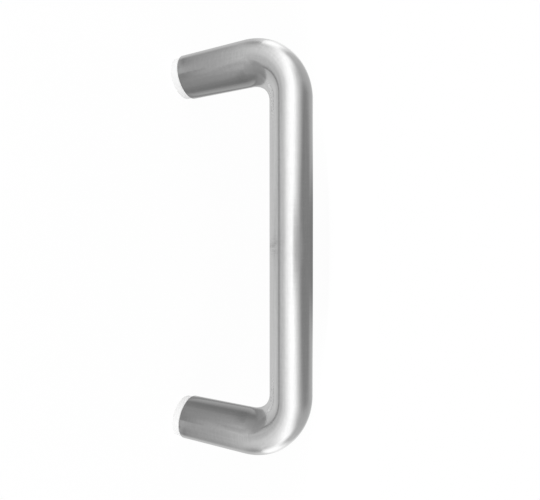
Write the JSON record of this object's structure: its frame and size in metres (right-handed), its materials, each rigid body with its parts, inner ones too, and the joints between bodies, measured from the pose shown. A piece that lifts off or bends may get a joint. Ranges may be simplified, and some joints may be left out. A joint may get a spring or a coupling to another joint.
{
  "type": "arch cabinet handle",
  "caption": "Round satin bar bent into an arch to pull a door or drawer, with a washer under each foot and a tapped fixing hole in it.",
  "frame": {"origin": "on the mounting surface, midway between the two fixing holes", "axes": "+X along the grip, +Y across the bar, +Z from the mounting surface towards the grip"},
  "size_m": [0.178, 0.018, 0.063],
  "materials": {
    "satin_steel": "satin stainless steel, fine grain running round the bar",
    "white_nylon": "natural white nylon, smooth and slightly translucent"
  },
  "bodies": {
    "root": {"handle": "satin_steel", "left_washer": "white_nylon", "right_washer": "white_nylon"}
  },
  "joints": []
}
